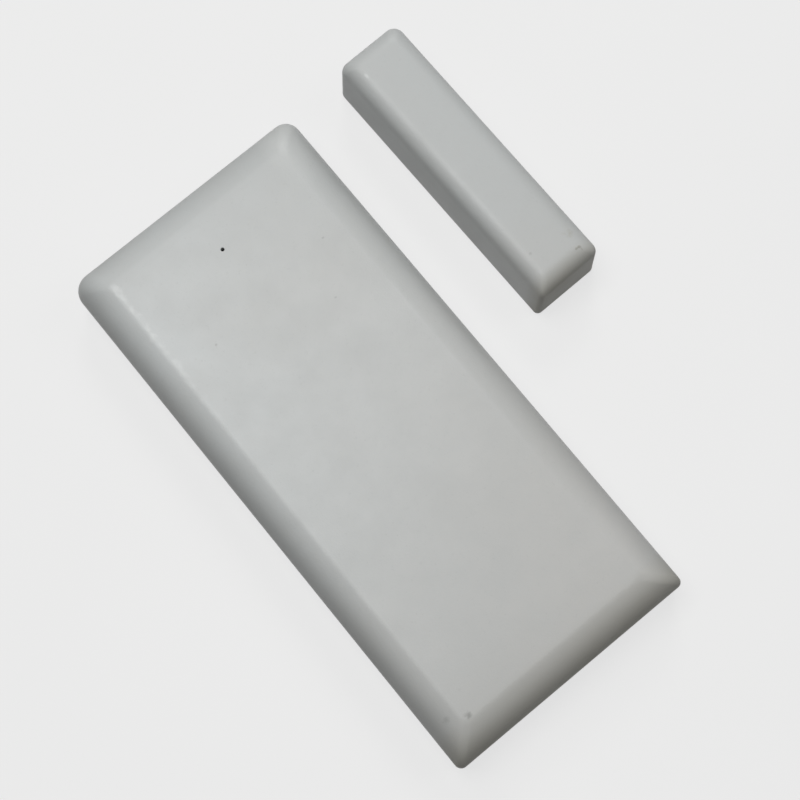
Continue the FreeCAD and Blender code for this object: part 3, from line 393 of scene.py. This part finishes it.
def cell_jacket():
    """Wrapped cell: a dark sleeve with a paler band at the positive end and a bare metal button."""
    material, n, shader = new_material("cell_jacket")
    place = n.place()
    x, y, _ = n.axes(place)
    cloud = n.noise(place, 4.0, 2.0, 0.5)
    # how far from the cells' middle towards the positive end, which is up on the left cell and down on the
    # right one
    middle_y = -24.9
    along = n.product(n.math("SUBTRACT", y, middle_y), n.ramp(x, -0.5, 0.5, 1.0, -1.0))
    colour = n.mix(n.vary(cloud), (0.035, 0.05, 0.07), (0.05, 0.065, 0.085))
    # the band begins so far along, and then the button
    for begin, full, tone in ((10.8, 11.0, (0.45, 0.34, 0.20)), (21.05, 21.15, (0.62, 0.62, 0.62))):
        colour = n.mix(n.ramp(along, begin, full), colour, tone)
    n.link(colour, shader.inputs["Base Color"])
    set_inputs(shader, {"Metallic": 0.6})
    n.link(n.vary(cloud, 0.25, 0.4), shader.inputs["Roughness"])
    n.link(n.bump(cloud, 0.1, 0.1), shader.inputs["Normal"])
    return material


# Moulded and coated finishes: slot, two tones, roughness, and the sizes of the grain and the mottling
MOULDED = (
    ("base_plastic", (0.70, 0.72, 0.71), (0.64, 0.66, 0.645), 0.5, 0.4, 6.0),
    ("button_plastic", (0.012, 0.012, 0.014), (0.022, 0.022, 0.024), 0.4, 0.2, 1.0),
    ("switch_plastic", (0.016, 0.016, 0.018), (0.028, 0.028, 0.03), 0.5, 0.2, 1.0),
    ("plunger_plastic", (0.74, 0.73, 0.69), (0.66, 0.65, 0.61), 0.35, 0.2, 1.0),
    ("chip_case", (0.012, 0.012, 0.013), (0.02, 0.02, 0.022), 0.55, 0.15, 1.0),
    ("resistor_body", (0.014, 0.014, 0.016), (0.03, 0.03, 0.03), 0.25, 0.15, 0.6),
)
# Metals: slot, two tones, roughness, and how the streaks are scaled along x, y and z
METALS = (
    ("tinned_can", (0.62, 0.63, 0.64), (0.52, 0.53, 0.54), 0.35, (1.0, 0.2, 1.0)),
    ("capacitor_can", (0.70, 0.71, 0.72), (0.62, 0.63, 0.64), 0.28, (1.0, 1.0, 1.0)),
    ("contact_steel", (0.60, 0.60, 0.58), (0.50, 0.50, 0.48), 0.3, (0.2, 1.0, 1.0)),
    ("spring_steel", (0.55, 0.56, 0.58), (0.45, 0.46, 0.48), 0.25, (1.0, 1.0, 1.0)),
    ("screw_steel", (0.58, 0.60, 0.62), (0.50, 0.50, 0.50), 0.3, (1.0, 1.0, 1.0)),
    ("antenna_wire", (0.72, 0.40, 0.20), (0.60, 0.32, 0.16), 0.3, (1.0, 1.0, 1.0)),
    ("magnet_alloy", (0.16, 0.16, 0.17), (0.11, 0.11, 0.115), 0.5, (1.0, 0.15, 1.0)),
)
FINISHES = {
    "cover_plastic": cover_plastic(),
    "board_laminate": board_laminate(),
    "cell_jacket": cell_jacket(),
    "lamp_resin": clear("lamp_resin", (0.90, 0.93, 0.90)),
    "tube_glass": clear("tube_glass", (0.80, 0.92, 0.86)),
}
FINISHES.update({row[0]: moulded(*row) for row in MOULDED})
FINISHES.update({row[0]: metal(*row) for row in METALS})

# An imported material has its slot's name, with or without a number after it.
for node in nodes.values():
    for slot in node.material_slots:
        if slot.material is not None:
            slot.material = FINISHES[slot.material.name.split(".")[0]]


# The covers, ring by ring

def corner_ring(left, right, low, high, radii, height):
    """Points round a rectangle with rounded corners, anticlockwise from its lower right corner."""
    points = []
    corners = ((right, low, 1, -1), (right, high, 1, 1), (left, high, -1, 1), (left, low, -1, -1))
    for index, ((x, y, side, end), radius) in enumerate(zip(corners, radii)):
        first = math.radians(90 * index - 90)
        for step in range(CORNER_STEPS + 1):
            angle = first + math.pi / 2 * step / CORNER_STEPS
            points.append((x - side * radius + radius * math.cos(angle),
                           y - end * radius + radius * math.sin(angle), height))
    return points


def build_shell(name, rings, matrix):
    """A closed mesh from rings of equal length. The first and last ring are capped."""
    count = len(rings[0])
    vertices = [matrix @ Vector(point) * MM for ring in rings for point in ring]
    faces = []
    for level in range(len(rings) - 1):
        for step in range(count):
            following = (step + 1) % count
            faces.append((level * count + step, level * count + following,
                          (level + 1) * count + following, (level + 1) * count + step))
    faces.append(tuple(reversed(range(count))))
    faces.append(tuple((len(rings) - 1) * count + step for step in range(count)))
    mesh = bpy.data.meshes.new(name)
    mesh.from_pydata(vertices, [], faces)
    mesh.validate()
    mesh.shade_smooth()
    obj = bpy.data.objects.new(name, mesh)
    collection.objects.link(obj)
    return obj


def round_cutter(name, x, y, low, high, radius):
    """An upright cylinder that is cut out of something else."""
    rings = []
    for z in (low, high):
        angles = [2 * math.pi * step / PINHOLE_STEPS for step in range(PINHOLE_STEPS)]
        rings.append([(x + radius * math.cos(angle), y + radius * math.sin(angle), z) for angle in angles])
    return build_shell(name, rings, Matrix.Identity(4))


def cut_away(obj, cutter, margin):
    """Takes the cutter's form out of the object and drops the cutter.

    Level faces, and those whose middle is within the margin of the cutter's axis, are shaded flat."""
    modifier = obj.modifiers.new("cut", "BOOLEAN")
    modifier.operation = "DIFFERENCE"
    modifier.solver = "EXACT"
    modifier.object = cutter
    graph = bpy.context.evaluated_depsgraph_get()
    result = bpy.data.meshes.new_from_object(obj.evaluated_get(graph))
    obj.modifiers.clear()
    obj.data = result
    centre = sum((v.co for v in cutter.data.vertices), Vector()) / len(cutter.data.vertices)
    for face in result.polygons:
        level = abs(face.normal.z) > 0.99999
        near = (face.center.xy - centre.xy).length < margin * MM
        if level or near:
            face.use_smooth = False
    bpy.data.objects.remove(cutter)


def blend(first, second, part):
    """Radii between the first set and the second."""
    return [a + (b - a) * part for a, b in zip(first, second)]


def lip_rings(ring, wall, inner_radii, outer_radii):
    """The lower edge of a cover, from its inner wall round to its outer wall."""
    ring(wall, LIFT + LIP, inner_radii)
    for step in range(1, LIP_STEPS + 1):
        angle = math.pi / 2 * step / LIP_STEPS
        grown = LIP * (1 - math.cos(angle))
        ring(wall - grown, LIFT + LIP * (1 - math.sin(angle)), [radius + grown for radius in inner_radii])
    for step in range(LIP_STEPS + 1):
        angle = math.pi / 2 * step / LIP_STEPS
        inward = LIP * (1 - math.sin(angle))
        ring(inward, LIFT + LIP * (1 - math.cos(angle)), [radius - inward for radius in outer_radii])


def shoulder_in(inset, climb, wall=0.0):
    """How far in the shoulder stands at a height above the wall's top, or with a wall its inner side."""
    radius = (inset * inset + RISE * RISE) / (2 * inset)
    return radius - math.sqrt(max((radius - wall) ** 2 - climb * climb, 0.0))


def front_cover_mesh():
    """The large housing's cover: walls, four convex shoulders, a crease and a flat front."""
    rings = []

    def ring(side, lower, upper, z, radii):
        rings.append(corner_ring(-WIDTH / 2 + side, WIDTH / 2 - side, -LENGTH / 2 + lower,
                                 LENGTH / 2 - upper, radii, z))

    # inside, from the roof down
    inner_rise = HEIGHT - WALL - WALL_TOP
    for step in range(ROOF_STEPS, -1, -1):
        climb = inner_rise * math.sin(math.pi / 2 * step / ROOF_STEPS)
        ring(*[shoulder_in(inset, climb, WALL) for inset in INSETS], WALL_TOP + climb, INNER_CORNERS)
    lip_rings(lambda inward, z, radii: ring(inward, inward, inward, z, radii), WALL, INNER_CORNERS, CORNERS)
    for step in range(1, WALL_STEPS + 1):
        ring(0, 0, 0, LIFT + LIP + (WALL_TOP - LIFT - LIP) * step / WALL_STEPS, CORNERS)
    # shoulders, up to where the crease begins to turn over
    turn_climb = RISE - TURN_DEPTH
    for step in range(1, SHOULDER_STEPS + 1):
        climb = RISE * math.sin(math.pi / 2 * step / SHOULDER_STEPS)
        if climb > turn_climb - TOO_NEAR:
            break
        ring(*[shoulder_in(inset, climb) for inset in INSETS], WALL_TOP + climb,
             blend(CORNERS, CREASE_CORNERS, (climb / RISE) ** 2))
    # over the crease, along a curve that is level at the front
    for step in range(TURN_STEPS + 1):
        t = step / TURN_STEPS
        first, middle, last = (1 - t) ** 2, 2 * t * (1 - t), t * t
        turned = [first * shoulder_in(inset, turn_climb) + middle * inset + last * (inset + TURN_IN)
                  for inset in INSETS]
        ring(*turned, WALL_TOP + first * turn_climb + (middle + last) * RISE, CREASE_CORNERS)
    for inward in FRONT_RINGS:
        ring(*[inset + TURN_IN + inward for inset in INSETS], HEIGHT, CREASE_CORNERS)
    return build_shell("front_cover_shell", rings, Matrix.Identity(4))


def magnet_cover_mesh():
    """The magnet housing's cover: drafted walls, rounded upper edges and a flat top."""
    rings = []
    half_x, half_y = BAR_WIDTH / 2, BAR_LENGTH / 2

    def ring(inward, z, radii):
        rings.append(corner_ring(-half_x + inward, half_x - inward, -half_y + inward, half_y - inward,
                                 radii, z))

    # inside, from the roof down
    roof = BAR_HEIGHT - BAR_WALL
    for z in (roof, roof * 0.6):
        ring(BAR_WALL, z, BAR_INNER_CORNERS)
    lip_rings(ring, BAR_WALL, BAR_INNER_CORNERS, BAR_CORNERS)
    # outside, up the drafted wall and over the arc, which leaves it without a step, to a ring on the flat top
    centre_z = BAR_HEIGHT - EDGE
    centre_in = (centre_z - LIFT) * math.tan(DRAFT) + EDGE / math.cos(DRAFT)
    foot_z = centre_z + EDGE * math.sin(DRAFT)
    for step in range(1, BAR_WALL_STEPS + 1):
        z = LIFT + LIP + (foot_z - LIFT - LIP) * step / BAR_WALL_STEPS
        ring((z - LIFT) * math.tan(DRAFT), z, BAR_CORNERS)
    for step in range(1, EDGE_STEPS + 1):
        angle = DRAFT + (math.pi / 2 - DRAFT) * step / EDGE_STEPS
        ring(centre_in - EDGE * math.cos(angle), centre_z + EDGE * math.sin(angle),
             blend(BAR_CORNERS, BAR_TOP_CORNERS, (step / EDGE_STEPS) ** 2))
    ring(centre_in + 1.0, BAR_HEIGHT, BAR_TOP_CORNERS)
    return build_shell("magnet_cover_shell", rings, BAR_PLACE)


front = front_cover_mesh()
pinhole = round_cutter("pinhole", PINHOLE_X, PINHOLE_Y, HEIGHT - CUT_BELOW, HEIGHT + CUT_ABOVE,
                       PINHOLE_RADIUS)
cut_away(front, pinhole, PINHOLE_RIM)
front.data.materials.clear()
front.data.materials.append(FINISHES["cover_plastic"])
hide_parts("front_cover")
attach(front, "housing")

bar = magnet_cover_mesh()
bar.data.materials.append(FINISHES["cover_plastic"])
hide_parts("magnet_cover")
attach(bar, "housing")


def tamper_return_spring():
    """The tamper switch's spring under the board, as a mesh of its own."""
    spring = bpy.data.objects.new("tamper_return_spring", nodes["tamper_spring"].data.copy())
    collection.objects.link(spring)
    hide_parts("tamper_spring")
    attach(spring, "housing")
    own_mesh(spring)


tamper_return_spring()


# Floor, light and camera

# The floor's half width and height in metres, its two tones, and how it shines where it is seen
FLOOR_HALF, FLOOR_Z = 6.0, -0.05 * MM
FLOOR_TONE, FLOOR_SECOND, FLOOR_GLOW = (0.155, 0.154, 0.151), (0.147, 0.146, 0.143), (0.705, 0.706, 0.707)
# The surroundings as they light the part, and as they show
FAINT, FAINT_STRENGTH, PALE = (0.98, 0.99, 1.0), 0.03, (0.83, 0.83, 0.83)
# Square lights: name, place and width in metres, and power. All are aimed at one point.
AIM = (0.01, 0.0, 0.0)
LIGHTS = (
    ("key", (-0.05, 0.15, 0.60), 0.30, 2.05),
    ("side", (0.42, 0.50, 0.60), 0.26, 1.8),
    ("fill", (0.44, -0.18, 0.55), 0.30, 0.66),
)
# The camera as fitted to the photo: its turns in radians, where the part's origin stands in its view, its
# lens and sensor, and how near and how far it sees, in metres
CAMERA_TURNS = ((-0.0145, "Y"), (-0.1702, "X"), (0.6898, "Z"))
ORIGIN_IN_VIEW = (-4.7832, -7.0575, -275.826)
LENS, SENSOR = 70.53, 36.0
NEAREST, FARTHEST = 0.01, 20.0


def shown_rays(n):
    """1 for rays that show the background, straight or in metal and glass, and 0 for rays that light."""
    rays = n.add("LightPath")
    return n.math("MAXIMUM", rays.outputs["Is Camera Ray"],
                  n.math("MAXIMUM", rays.outputs["Is Glossy Ray"], rays.outputs["Is Transmission Ray"]))


def pick_shown(n, lighting, shown, output):
    """Links the shader for lighting rays and the one for rays that show the background to the output."""
    pick = n.add("MixShader")
    for socket, source in zip(pick.inputs, (shown_rays(n), lighting, shown)):
        n.link(source, socket)
    n.link(pick.outputs[0], n.tree.nodes[output].inputs["Surface"])


def floor():
    """A floor that is dull to light and pale to see, just below the part."""
    mesh = bpy.data.meshes.new("floor")
    corners = ((-1, -1), (1, -1), (1, 1), (-1, 1))
    mesh.from_pydata([(x * FLOOR_HALF, y * FLOOR_HALF, FLOOR_Z) for x, y in corners], [], [(0, 1, 2, 3)])
    obj = bpy.data.objects.new("floor", mesh)
    collection.objects.link(obj)
    material, n, shader = new_material("floor")
    cloud = n.noise(n.place(), 60.0, 2.0, 0.5)
    n.link(n.mix(n.vary(cloud), FLOOR_TONE, FLOOR_SECOND), shader.inputs["Base Color"])
    set_inputs(shader, {"Roughness": 0.85, "Specular IOR Level": 0.2})
    glow = n.add("Emission", in_Color=(*FLOOR_GLOW, 1.0), in_Strength=1.0)
    both = n.add("AddShader")
    n.link(shader.outputs[0], both.inputs[0])
    n.link(glow.outputs[0], both.inputs[1])
    pick_shown(n, shader.outputs[0], both.outputs[0], "Material Output")
    obj.data.materials.append(material)


def area_light(name, place, width, power):
    """A square light that looks at AIM."""
    data = bpy.data.lights.new(name, "AREA")
    data.shape = "SQUARE"
    data.size = width
    data.energy = power
    obj = bpy.data.objects.new(name, data)
    obj.location = place
    obj.rotation_euler = (Vector(AIM) - Vector(place)).to_track_quat("-Z", "Y").to_euler()
    collection.objects.link(obj)


def surroundings():
    """Faint light all round. Seen directly or in a reflection, the surroundings are as pale as the floor."""
    world = bpy.data.worlds.new("world")
    world.use_nodes = True
    n = Nodes(world.node_tree)
    faint = world.node_tree.nodes["Background"]
    set_inputs(faint, {"Color": (*FAINT, 1.0), "Strength": FAINT_STRENGTH})
    pale = n.add("Background", in_Color=(*PALE, 1.0), in_Strength=1.0)
    pick_shown(n, faint.outputs[0], pale.outputs[0], "World Output")
    bpy.context.scene.world = world


def camera():
    """The camera that sees the part as the photo does."""
    data = bpy.data.cameras.new("camera")
    data.sensor_width = SENSOR
    data.lens = LENS
    data.clip_start = NEAREST
    data.clip_end = FARTHEST
    obj = bpy.data.objects.new("camera", data)
    turn = Matrix.Identity(3)
    for angle, axis in CAMERA_TURNS:
        turn = turn @ Matrix.Rotation(angle, 3, axis)
    back = turn.transposed()
    obj.matrix_world = Matrix.Translation(-(back @ (Vector(ORIGIN_IN_VIEW) * MM))) @ back.to_4x4()
    collection.objects.link(obj)
    bpy.context.scene.camera = obj


floor()
for row in LIGHTS:
    area_light(*row)
surroundings()
camera()
bpy.context.scene.view_settings.view_transform = "Standard"
